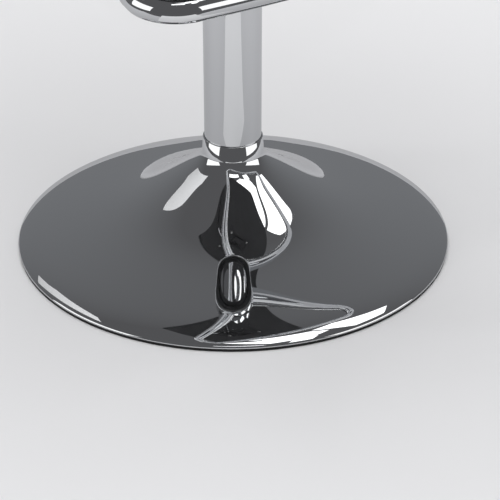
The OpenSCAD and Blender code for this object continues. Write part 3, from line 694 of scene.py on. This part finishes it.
def soft_outline(u, v):
    m = max(abs(u), abs(v), 1e-6)
    return reach_at(min(abs(u), abs(v)) / m) / MOST


class Cushion:
    """One cushion, built flat on its own plane and then set in place."""

    def __init__(self, name, node, width, depth, edge, crown, place, narrow=0.0):
        self.name, self.node, self.place = name, node, place
        self.width, self.depth, self.edge, self.crown, self.narrow = width, depth, edge, crown, narrow

    def plan(self, u, v, share=1.0):
        s = soft_outline(u, v)
        half_w = self.width / 2 - self.narrow * (1 + v * s) / 2
        return Vector((half_w * u * s * share, self.depth / 2 * v * s * share, 0))

    def channel_lines(self):
        return [self.depth / 2 * (2 * k / 4 - 1) for k in (1, 2, 3)]

    def top_height(self, u, v):
        return self.edge + self.crown * (1 - abs(u) ** 3) * (1 - abs(v) ** 3)

    def rough_form(self):
        """A slab with a crowned top and drawn-in underside, ready for the voxel remesh."""
        bm = bmesh.new()
        bmesh.ops.create_grid(bm, x_segments=44, y_segments=36, size=1)
        top = bm.faces[:]
        made = bmesh.ops.extrude_face_region(bm, geom=top)["geom"]
        lower = {g for g in made if isinstance(g, bmesh.types.BMVert)}
        for v in bm.verts:
            u, w = v.co.x, v.co.y
            if v in lower:
                v.co = self.plan(u, w, 0.965)
            else:
                v.co = self.plan(u, w, 0.975)
                v.co.z = self.top_height(u, w) - 4 * MM
        bmesh.ops.recalc_face_normals(bm, faces=bm.faces)
        return mesh_from(bm, self.name)

    def hold_down(self, holder):
        """Marks what the thread and the board hold: the underside and the sewn channels."""
        held = holder.vertex_groups.new(name="held")
        lines = self.channel_lines()
        for v in holder.data.vertices:
            on_base = v.co.z < 4 * MM
            on_channel = v.co.z > self.edge - 2 * MM and min(abs(v.co.y - y) for y in lines) < 3 * MM
            if on_base or on_channel:
                held.add([v.index], 1.0, "REPLACE")

    def swell(self, holder, start):
        """Where the vertices end once the cloth has settled under a light pressure."""
        cloth = holder.modifiers.new("cloth", "CLOTH")
        for label, value in CLOTH.items():
            setattr(cloth.settings, label, value)
        cloth.settings.effector_weights.gravity = 0.0
        cloth.collision_settings.use_collision = False
        cloth.point_cache.frame_start, cloth.point_cache.frame_end = 1, CLOTH_STEPS
        for step in range(1, CLOTH_STEPS + 1):
            bpy.context.scene.frame_set(step)
        swollen = baked(holder)
        bpy.context.scene.frame_set(1)
        holder.modifiers.clear()
        moves = [v.co - s for v, s in zip(swollen.vertices, start)]
        return [s + m * min(1, MOST_SWELL / max(m.length, 1e-9)) for s, m in zip(start, moves)]

    def inflate(self, mesh):
        """The form as an even grid, swollen, smoothed and subdivided."""
        holder = placed(self.name + "_form", mesh)
        grid = holder.modifiers.new("remesh", "REMESH")
        grid.mode, grid.voxel_size = "VOXEL", 5 * MM
        remeshed = settle(holder)
        start = [v.co.copy() for v in remeshed.vertices]
        self.hold_down(holder)
        ends = self.swell(holder, start)
        bm = bmesh.new()
        bm.from_mesh(remeshed)
        bm.verts.ensure_lookup_table()
        for v, end in zip(bm.verts, ends):
            v.co = end
        for _ in range(2):
            bmesh.ops.smooth_vert(bm, verts=bm.verts, factor=0.5, use_axis_x=True, use_axis_y=True,
                                  use_axis_z=True)
        bm.to_mesh(remeshed)
        bm.free()
        smooth = holder.modifiers.new("smooth", "SUBSURF")
        smooth.levels = smooth.render_levels = 1
        bpy.context.view_layer.update()
        final = baked(holder)
        bpy.data.objects.remove(holder)
        return final

    def sew(self, mesh):
        """Presses the sewn channels in and keeps the whole inside its space."""
        lines = self.channel_lines()
        half_w, half_d = self.width / 2, self.depth / 2
        for v in mesh.vertices:
            if v.co.z > self.edge * 0.7:
                side = self.width / 2 - self.narrow * (1 + v.co.y / half_d) / 2
                fade = max(0.0, 1 - (abs(v.co.x) / (side * 0.97)) ** 10)
                gap = min(abs(v.co.y - y) for y in lines)
                wide = math.exp(-(gap / (9 * MM)) ** 2)
                tight = math.exp(-(gap / (2.6 * MM)) ** 2)
                v.co.z -= fade * (2.6 * MM * wide + 2.4 * MM * tight)
            v.co.z = max(v.co.z, 0.0) if v.co.z > 0.6 * MM else 0.0
        return mesh

    def seam_path(self, tree, height, steps=220):
        """Points where the cushion's side lies at a height, all the way round."""
        points = []
        for k in range(steps):
            a = 2 * math.pi * k / steps
            c, s = math.cos(a), math.sin(a)
            far = 1 / max(abs(c), abs(s))
            target = self.plan(c * far, s * far)
            way = Vector((target.x, target.y, 0)).normalized()
            start = Vector((target.x, target.y, height)) + way * 40 * MM
            hit = tree.ray_cast(start, -way)[0]
            points.append((hit if hit else Vector((target.x, target.y, height))) + way * 0.3 * MM)
        return points

    def stitches(self, tree):
        """Rows of short stitches along the bottom of each channel."""
        bm = bmesh.new()
        for y in self.channel_lines():
            side = self.width / 2 - self.narrow * (1 + 2 * y / self.depth) / 2
            count = int((2 * side - 24 * MM) / STITCH_GAP)
            for k in range(count):
                x = (k - (count - 1) / 2) * STITCH_GAP
                hit = tree.ray_cast(Vector((x, y, 0.2)), Vector((0, 0, -1)))
                if hit[0] is None:
                    continue
                lie = hit[1].to_track_quat("Z", "Y").to_matrix().to_4x4()
                place = Matrix.Translation(hit[0] + hit[1] * 0.15 * MM) @ lie
                turn = Matrix.Rotation(math.pi / 2, 4, "Y")
                made = bmesh.ops.create_uvsphere(bm, u_segments=6, v_segments=5, radius=STITCH_R)["verts"]
                long = Matrix.Diagonal((1, 1, STITCH_STRETCH, 1))
                bmesh.ops.transform(bm, matrix=place @ turn @ long, verts=made)
        return mesh_from(bm, self.name + "_stitches", recalc=False)

    def build(self):
        """The cushion itself, its two rows of piping and its stitches, all set in place."""
        mesh = self.sew(self.inflate(self.rough_form()))
        bm = bmesh.new()
        bm.from_mesh(mesh)
        tree = BVHTree.FromBMesh(bm)
        bm.free()
        seams = {"upper": 0.80 * self.edge, "lower": 0.08 * self.edge}
        piping = {f"{self.name}_piping_{label}": tube_mesh("piping", self.seam_path(tree, height), PIPING_R,
                                                           closed=True, round_steps=3)
                  for label, height in seams.items()}
        stitches = self.stitches(tree)
        mesh.transform(self.place)
        cushion = add_piece(self.name, mesh, "leather", "seat", [self.node], sharp=0)
        for label, roll in piping.items():
            roll.transform(self.place)
            add_piece(label, roll, "leather", "seat", sharp=0)
        stitches.transform(self.place)
        add_piece(self.name + "_stitches", stitches, "thread", "seat", sharp=0)


REAR_Y = BEND_Y - 4 * MM
SEAT_PAD = Cushion("seat_pad", "seat_cushion", 420 * MM, REAR_Y + HALF_D, 38 * MM, 14 * MM,
                   Matrix.Translation((0, (REAR_Y - HALF_D) / 2, PLY_TOP + 0.3 * MM)))
BACK_PAD = Cushion("back_pad", "back_cushion", PLY_W - 2 * MM, BACK_LEN + 7 * MM, 26 * MM, 14 * MM,
                   Matrix.Translation((0, BEND_Y, BEND_Z)) @ Matrix.Rotation(math.pi / 2 - LEAN, 4, "X")
                   @ Matrix.Translation((0, (BACK_LEN - 5 * MM) / 2, -(BEND_R - COVER_T - PLY_T - 0.3 * MM))),
                   narrow=BACK_TAPER)
SEAT_PAD.build()
BACK_PAD.build()


# Mechanism under the seat
PLATE_LOW, PLATE_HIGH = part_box("mount_plate")[0].z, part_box("mount_plate")[1].z
PLATE_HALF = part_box("mount_plate")[1].x
BOLT_GRID = 62.5 * MM
BOLT_PLACES = [(sx * BOLT_GRID, sy * BOLT_GRID) for sx in (-1, 1) for sy in (-1, 1)]


def extruded(points, axis, end):
    """A flat outline drawn along an axis (0, 1 or 2) to a place on it."""
    bm = bmesh.new()
    face = bm.faces.new([bm.verts.new(p) for p in points])
    made = bmesh.ops.extrude_face_region(bm, geom=[face])["geom"]
    for v in (g for g in made if isinstance(g, bmesh.types.BMVert)):
        v.co[axis] = end
    return bm


def rounded_plate():
    """The mounting plate, with its four bolt holes and softened edges."""
    corner = 14 * MM
    points = []
    for sx, sy, start in ((1, 1, 0), (-1, 1, 90), (-1, -1, 180), (1, -1, 270)):
        for k in range(9):
            a = math.radians(start + 90 * k / 8)
            points.append((sx * (PLATE_HALF - corner) + corner * math.cos(a),
                           sy * (PLATE_HALF - corner) + corner * math.sin(a), PLATE_LOW))
    mesh = mesh_from(extruded(points, 2, PLATE_HIGH), "plate")
    piece = add_piece("mount_plate_pressed", mesh, "powder", "seat", ["mount_plate"])
    drill_bm = bmesh.new()
    for x, y in BOLT_PLACES:
        bmesh.ops.create_cone(drill_bm, cap_ends=True, segments=32, radius1=3.4 * MM, radius2=3.4 * MM,
                              depth=12 * MM, matrix=Matrix.Translation((x, y, PLATE_LOW)))
    cut_and_soften(piece, drill_bm, 0.5 * MM)


def cut_and_soften(piece, drill_bm, width):
    """Drills a pressed piece and takes the sharpness off its edges."""
    tool = drill(piece, drill_bm)
    soft = piece.modifiers.new("edges", "BEVEL")
    soft.width, soft.segments, soft.limit_method = width, 2, "ANGLE"
    soft.angle_limit = math.radians(40)
    mesh = settle(piece)
    bpy.data.objects.remove(tool)
    mesh.polygons.foreach_set("use_smooth", [True] * len(mesh.polygons))
    mesh.set_sharp_from_angle(angle=math.radians(35))


rounded_plate()

HOUSE_LOW, HOUSE_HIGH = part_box("mechanism_housing")
LEVER_Z = PLATE_LOW - 9 * MM
LEVER_R = 4 * MM
SOCKET_HOLE_R = 16.9 * MM


def folded_channel():
    """The mechanism's channel: a strip folded up at both sides, with the lever's slot."""
    t, r = 2.5 * MM, 4 * MM
    w, low, high = HOUSE_HIGH.x, HOUSE_LOW.z, HOUSE_HIGH.z
    outline = rounded([(-w, high, 0), (-w, low, r), (w, low, r), (w, high, 0), (w - t, high, 0),
                       (w - t, low + t, r - t), (-w + t, low + t, r - t), (-w + t, high, 0)], r, 5)
    bm = extruded([(p.x, HOUSE_LOW.y, p.y) for p in outline], 1, HOUSE_HIGH.y)
    piece = add_piece("mechanism_channel", mesh_from(bm, "channel"), "powder", "seat", ["mechanism_housing"])
    drill_bm = bmesh.new()
    slot_low, slot_high = LEVER_Z - LEVER_R - 2 * MM, LEVER_Z + LEVER_R + 3.5 * MM
    bmesh.ops.create_cube(drill_bm, size=1, matrix=Matrix.Translation((-w, 0, (slot_low + slot_high) / 2))
                          @ Matrix.Diagonal((12 * MM, 2 * LEVER_R + 3 * MM, slot_high - slot_low, 1)))
    crossing = [e for e in drill_bm.edges if abs((e.verts[0].co - e.verts[1].co).normalized().x) > 0.9]
    bmesh.ops.bevel(drill_bm, geom=crossing, offset=3 * MM, segments=6, affect="EDGES", profile=0.5,
                    material=-1)
    bmesh.ops.create_cone(drill_bm, cap_ends=True, segments=64, radius1=SOCKET_HOLE_R, radius2=SOCKET_HOLE_R,
                          depth=12 * MM, matrix=Matrix.Translation((0, 0, low)))
    cut_and_soften(piece, drill_bm, 0.4 * MM)


folded_channel()


def channel_weld(side, label):
    """The weld along one side of the channel, with the waves that the torch leaves."""
    name = f"channel_weld_{label}"
    x, z = side * (HOUSE_HIGH.x + 0.6 * MM), PLATE_LOW - 0.5 * MM
    mesh = tube_mesh(name, [(x, y * MM, z) for y in range(-58, 59, 2)], 1.7 * MM, round_steps=3)
    for v in mesh.vertices:
        v.co.z += 0.15 * MM * math.sin(v.co.y * 2400)
    add_piece(name, mesh, "powder", "seat", sharp=0)


for side, label in SIDES:
    channel_weld(side, label)
spun("socket_weld", [(SOCKET_HOLE_R + 2.2 * MM + 1.6 * MM * math.cos(a),
                      HOUSE_LOW.z + 2.7 * MM + 1.2 * MM * math.sin(a))
                     for a in (2 * math.pi * k / 10 for k in range(10))], "powder", "seat", steps=72, sharp=0)


# Lever
PIVOT_X = next(j["pos_m"][0] for j in frame["joints"] if j["name"] == "lever_pull")
KNEE_X, DROP_X, DROP = -44 * MM, -80 * MM, 26.5 * MM
PRESS_BEND = 6 * MM
TIP_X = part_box("lever_grip")[0].x


def lever_line():
    """The rod's line, with its two bends rounded as a press leaves them."""
    corners = [Vector((5 * MM, 0, 0)), Vector((KNEE_X, 0, 0)), Vector((DROP_X, 0, -DROP)),
               Vector((TIP_X + 3 * MM, 0, -DROP))]
    points = [corners[0]]
    for before, here, after in zip(corners, corners[1:], corners[2:]):
        a, b = (before - here).normalized(), (after - here).normalized()
        start, end = here + a * PRESS_BEND, here + b * PRESS_BEND
        points += [start * (1 - t) ** 2 + here * 2 * t * (1 - t) + end * t * t
                   for t in (k / 10 for k in range(11))]
    points.append(corners[-1])
    return [p + Vector((0, 0, LEVER_Z)) for p in points]


rod = tube_mesh("lever_rod_bent", lever_line(), LEVER_R, round_steps=8)
bm = bmesh.new()
bm.from_mesh(rod)
bmesh.ops.create_cone(bm, cap_ends=True, segments=48, radius1=6 * MM, radius2=6 * MM, depth=16 * MM,
                      matrix=Matrix.Translation((PIVOT_X, 0, LEVER_Z)) @ Matrix.Rotation(math.pi / 2, 4, "X"))
add_piece("lever_rod_bent", mesh_from(bm, "lever_rod_bent", recalc=False), "chrome", "lever", ["lever_rod"])

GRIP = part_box("lever_grip")
grip_r = (GRIP[1].z - GRIP[0].z) / 2
grip_len = GRIP[1].x - GRIP[0].x
grip_turn = Matrix.Translation((GRIP[0].x, 0, LEVER_Z - DROP)) @ Matrix.Rotation(math.pi / 2, 4, "Y")
grip_line = [
    (0, 0), (LEVER_R + 1 * MM, 0, 0.5 * MM), (grip_r - 1 * MM, 1 * MM, 1 * MM), (grip_r, 4 * MM, 2 * MM),
    (grip_r, 10 * MM, 4 * MM), (LEVER_R + 2 * MM, 26 * MM, 8 * MM),
    (LEVER_R + 1.6 * MM, grip_len - 2 * MM, 1 * MM), (LEVER_R + 0.8 * MM, grip_len, 0.5 * MM),
    (LEVER_R + 0.05 * MM, grip_len, 0), (LEVER_R + 0.05 * MM, 3 * MM, 0), (0, 3 * MM, 0)]
spun("lever_grip_moulded", rounded(grip_line, 0.5 * MM, 5), "grip", "lever", ["lever_grip"], steps=64,
     place=grip_turn)


# Hex bolts under the seat
def hex_bolts():
    """The four bolts that hold the plate, with the edges of their heads softened before the shanks join."""
    low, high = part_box("seat_bolts")
    head, head_r, shank_r = 4 * MM, 5.6 * MM, 2.95 * MM
    bm = bmesh.new()
    for x, y in BOLT_PLACES:
        bmesh.ops.create_cone(bm, cap_ends=True, segments=6, radius1=head_r, radius2=head_r, depth=head,
                              matrix=Matrix.Translation((x, y, low.z + head / 2)))
    edges = [e for e in bm.edges
             if abs(e.verts[0].co.z - e.verts[1].co.z) < 1e-6 and e.verts[0].co.z < low.z + MM]
    bmesh.ops.bevel(bm, geom=edges, offset=0.5 * MM, segments=2, affect="EDGES", profile=0.5, material=-1)
    length = high.z - low.z - head
    for x, y in BOLT_PLACES:
        bmesh.ops.create_cone(bm, cap_ends=True, segments=32, radius1=shank_r, radius2=shank_r, depth=length,
                              matrix=Matrix.Translation((x, y, low.z + head + length / 2)))
    mesh = mesh_from(bm, "seat_bolts_hex", recalc=False)
    add_piece("seat_bolts_hex", mesh, "zinc", "seat", ["seat_bolts"], sharp=30)


hex_bolts()


# Finishes of the CAD pieces that stay
KEPT = {
    "iron": ["ballast_disc"],
    "zinc": ["hub_socket", "gussets", "ballast_bolts", "column_foot", "taper_socket", "lever_bracket",
             "lever_pin", "pin_clip", "seat_washers", "t_nuts", "rod_clip", "footrest_screws", "piston_nut"],
    "bearing": ["lower_race", "bearing_balls", "upper_race", "valve_pin"],
    "brass": ["ball_cage"],
    "powder": ["gas_cylinder"],
    "nylon": ["top_bush", "rod_gland", "piston"],
    "rubber": ["rod_buffer"],
    "chrome": ["piston_rod"],
    "plywood": ["seat_shell"],
}
for finish, names in KEPT.items():
    for node in names:
        NODES[node].data.materials.clear()
        NODES[node].data.materials.append(FINISH[finish])


# Floor, room and light
TURN = Matrix.Rotation(math.radians(-36), 4, "Z")
MIRRORED_ONLY = {"visible_camera": False, "visible_diffuse": False, "visible_shadow": False}
PANE_Z = 2.2


def stage_sheet(name, corners, height, shade, **seen):
    """A flat sheet of the room, with its corners in the room's own directions."""
    bm = bmesh.new()
    bm.faces.new([bm.verts.new((x, y, height)) for x, y in corners])
    mesh = bpy.data.meshes.new(name)
    bm.to_mesh(mesh)
    bm.free()
    mesh.transform(TURN)
    made, tree, shader, place = finish_of(name, shade, 0.0, 0.75)
    cloud = noise(tree, place, 3.0, 3.0)
    shade_between(tree, shader, cloud, tuple(c * 0.985 for c in shade), shade)
    mesh.materials.append(made)
    sheet = placed(name, mesh)
    for label, value in seen.items():
        setattr(sheet, label, value)
    return sheet


stage_sheet("floor", [(-14, -14), (14, -14), (14, 14), (-14, 14)], 0.0, (0.80, 0.80, 0.81),
            visible_glossy=False)
NOTCH = [(0.044, 0.355), (0.155, 0.53), (0.244, 0.78), (0.31, 1.0), (1.25, 4.0)]
FRONT_EDGE, REAR_EDGE = [(-0.9, -0.56), (0.9, -0.56), (2.6, 4.0)], [(-2.6, 4.0)]
# A darker copy of the floor (0.50 against the floor's 0.80) that only polished faces see: painted shade on
# the floor in the reflections. Its notch behind leaves a V where they show the walls instead.
stage_sheet("floor_near_painted_shade", FRONT_EDGE + NOTCH[::-1] + [(-x, y) for x, y in NOTCH] + REAR_EDGE, 0.05 * MM,
            (0.50, 0.50, 0.515), **MIRRORED_ONLY)
# A lighter patch of floor in front of the base (0.70) that only polished faces see: a painted pool of light
# on the floor in the reflections.
stage_sheet("floor_front_painted_light", [(-0.36, -0.8), (0.46, -0.8), (0.2, -0.2), (-0.15, -0.2)], 0.1 * MM,
            (0.70, 0.70, 0.71), **MIRRORED_ONLY)


def panel(name, place, size, glow, target=None, **seen):
    """A soft one-sided light, unseen by the camera; its glow is its brightness as a mirror shows it."""
    light = bpy.data.lights.new(name, "AREA")
    light.shape = "RECTANGLE"
    light.size, light.size_y = size
    light.energy = glow * math.pi * size[0] * size[1]
    holder = placed(name, light)
    at = Vector(place)
    aim = Vector(target) if target else at - Vector((0, 0, 1))
    holder.location = TURN @ at
    holder.rotation_mode = "QUATERNION"
    holder.rotation_quaternion = TURN.to_quaternion() @ (at - aim).to_track_quat("Z", "Y")
    for label, value in {"visible_camera": False, **seen}.items():
        setattr(holder, label, value)


panel("ceiling", (0, 0, 3.2), (3.0, 3.0), 4.6, visible_glossy=False)
for side, label in SIDES:
    panel(f"wall_{label}", (side * 2.5, -0.75, 0.85), (2.4, 1.5), 1.2, target=(0, 0, 0.1))


def roof_pane(name, corners, glow):
    """A bright pane overhead that only polished faces show, with corners in the room's own directions."""
    pane = stage_sheet(name, corners, PANE_Z, (0.8, 0.8, 0.8), **MIRRORED_ONLY)
    glass = pane.data.materials[0].node_tree.nodes["Principled BSDF"]
    glass.inputs["Emission Color"].default_value = (1.0, 1.0, 1.0, 1)
    glass.inputs["Emission Strength"].default_value = glow


roof_pane("pane_near", [(-0.133, -0.487), (0.459, -0.642), (0.954, -0.305), (1.051, 0.015), (0.761, 0.073),
                        (0.144, -0.252), (0.077, -0.278), (0.301, -0.271), (0.318, -0.337)], 1.4)
roof_pane("pane_side", [(1.564, 0.009), (2.0, 0.5), (1.72, 0.9), (1.395, 0.676), (0.923, 0.414),
                        (0.764, 0.128)], 1.4)
roof_pane("pane_left", [(-3.413, 2.298), (-1.705, 0.147), (-1.58, 0.433), (-1.7, 0.756), (-2.108, 1.556),
                        (-2.382, 1.863), (-2.805, 2.493)], 0.4)
roof_pane("pane_front", [(-0.3, -1.1), (0.42, -1.0), (0.42, -0.75), (-0.25, -0.8)], 1.4)
roof_pane("pane_corner", [(0.72, -0.8), (1.05, -0.7), (1.02, -0.3), (0.72, -0.42)], 1.4)


def mixed(tree, factor, a, b):
    """One colour turning into the other; a colour may also come from a socket."""
    mix = tree.nodes.new("ShaderNodeMix")
    mix.data_type = "RGBA"
    for label, value in (("A", a), ("B", b)):
        if isinstance(value, tuple):
            mix.inputs[label].default_value = value
        else:
            tree.links.new(value, mix.inputs[label])
    tree.links.new(factor, mix.inputs["Factor"])
    return mix.outputs["Result"]


def room_walls():
    """Darker walls in front, lighter ones behind, and a pale backdrop for the camera alone."""
    world = bpy.data.worlds.new("room")
    bpy.context.scene.world = world
    world.use_nodes = True
    room = world.node_tree
    way = room.nodes.new("ShaderNodeVectorMath")
    way.operation = "DOT_PRODUCT"
    way.inputs[1].default_value = TURN @ Vector((0, 1, 0))
    room.links.new(room.nodes.new("ShaderNodeTexCoord").outputs["Generated"], way.inputs[0])
    rear = room.nodes.new("ShaderNodeMapRange")
    rear.inputs["From Min"].default_value, rear.inputs["From Max"].default_value = 0.2, 0.95
    room.links.new(way.outputs["Value"], rear.inputs["Value"])
    walls = mixed(room, rear.outputs["Result"], (0.10, 0.10, 0.104, 1), (0.185, 0.19, 0.20, 1))
    seen = room.nodes.new("ShaderNodeLightPath").outputs["Is Camera Ray"]
    room.links.new(mixed(room, seen, walls, (0.86, 0.86, 0.87, 1)), room.nodes["Background"].inputs["Color"])


room_walls()


# Camera at the photograph's place
FOCAL_PX, FRAME_PX, SENSOR = 1885.7, 500, 36.0
DISTANCE, ASIDE, LIFTED = 1700 * MM, 14.96 * MM, -13.41 * MM
ELEVATION = math.radians(30.12)


def set_camera():
    """The camera looks down at the base, from where the photograph shows its rim and column."""
    back = Vector((0, -math.cos(ELEVATION), math.sin(ELEVATION)))
    right = Vector((1, 0, 0))
    up = right.cross(-back)
    lens = bpy.data.cameras.new("camera")
    lens.sensor_width = SENSOR
    lens.lens = FOCAL_PX / FRAME_PX * SENSOR
    lens.clip_end = 100
    camera = placed("camera", lens)
    camera.location = TURN @ (back * DISTANCE + right * ASIDE + up * LIFTED)
    camera.rotation_mode = "QUATERNION"
    camera.rotation_quaternion = (TURN @ -back).to_track_quat("-Z", "Y")
    bpy.context.scene.camera = camera


set_camera()
bpy.context.scene.view_settings.view_transform = "Standard"
